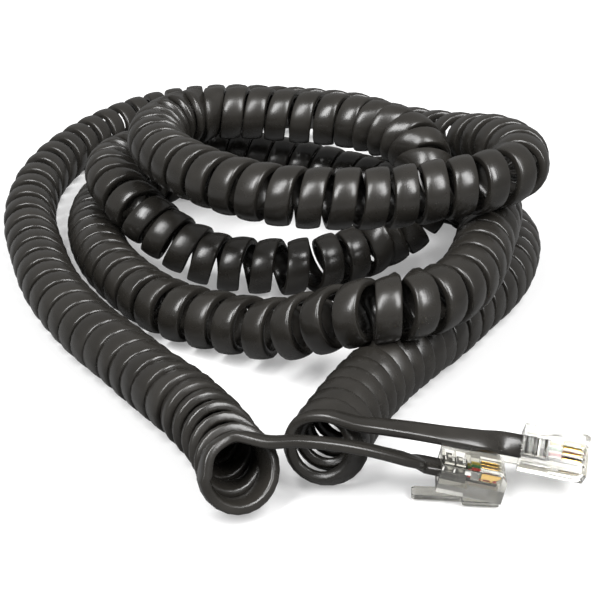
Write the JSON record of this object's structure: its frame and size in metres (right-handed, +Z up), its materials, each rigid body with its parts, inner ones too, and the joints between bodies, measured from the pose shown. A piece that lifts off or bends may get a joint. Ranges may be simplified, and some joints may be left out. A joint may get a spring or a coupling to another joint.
{
  "type": "coiled modular cord",
  "caption": "Retractile flat cord wound into a long helix and laid in overlapping loops, with a short flat tail and a clear modular plug at each end; each plug has a springy latch.",
  "frame": {"origin": "on the surface the cord lies on, under the middle of its box", "axes": "+Z up; Y along the longest way across the loops, with the plugs at -Y; X across"},
  "size_m": [0.1435, 0.2369, 0.043],
  "materials": {
    "cord_jacket": "satin dark warm-grey PVC jacket",
    "clear_plastic": "clear moulded polycarbonate",
    "gold_plate": "gold-plated phosphor bronze",
    "wire_black": "extruded insulation",
    "wire_red": "extruded insulation",
    "wire_green": "extruded insulation",
    "wire_yellow": "extruded insulation"
  },
  "bodies": {
    "cord": {"coil": "cord_jacket", "tail_a": "cord_jacket", "tail_b": "cord_jacket", "plug_a_body": "clear_plastic", "plug_a_anchor_rear": "clear_plastic", "plug_a_anchor_front": "clear_plastic", "plug_a_contact_1": "gold_plate", "plug_a_contact_2": "gold_plate", "plug_a_contact_3": "gold_plate", "plug_a_contact_4": "gold_plate", "plug_a_wire_1": "wire_black", "plug_a_wire_2": "wire_red", "plug_a_wire_3": "wire_green", "plug_a_wire_4": "wire_yellow", "plug_b_body": "clear_plastic", "plug_b_anchor_rear": "clear_plastic", "plug_b_anchor_front": "clear_plastic", "plug_b_contact_1": "gold_plate", "plug_b_contact_2": "gold_plate", "plug_b_contact_3": "gold_plate", "plug_b_contact_4": "gold_plate", "plug_b_wire_1": "wire_black", "plug_b_wire_2": "wire_red", "plug_b_wire_3": "wire_green", "plug_b_wire_4": "wire_yellow"},
    "latch_a": {"plug_a_latch": "clear_plastic"},
    "latch_b": {"plug_b_latch": "clear_plastic"}
  },
  "joints": [
    {"name": "latch_a_press", "type": "hinge", "parent": "cord", "child": "latch_a", "pos_m": [0.04625, -0.11155, 0.0009], "axis": [0.0698, 0.9976, 0], "range_deg": [0, 10], "stiffness_Nm_per_rad": 0.05},
    {"name": "latch_b_press", "type": "hinge", "parent": "cord", "child": "latch_b", "pos_m": [0.06231, -0.1082, 0.00557], "axis": [0.2102, 0.7408, 0.638], "range_deg": [0, 10], "stiffness_Nm_per_rad": 0.05}
  ]
}
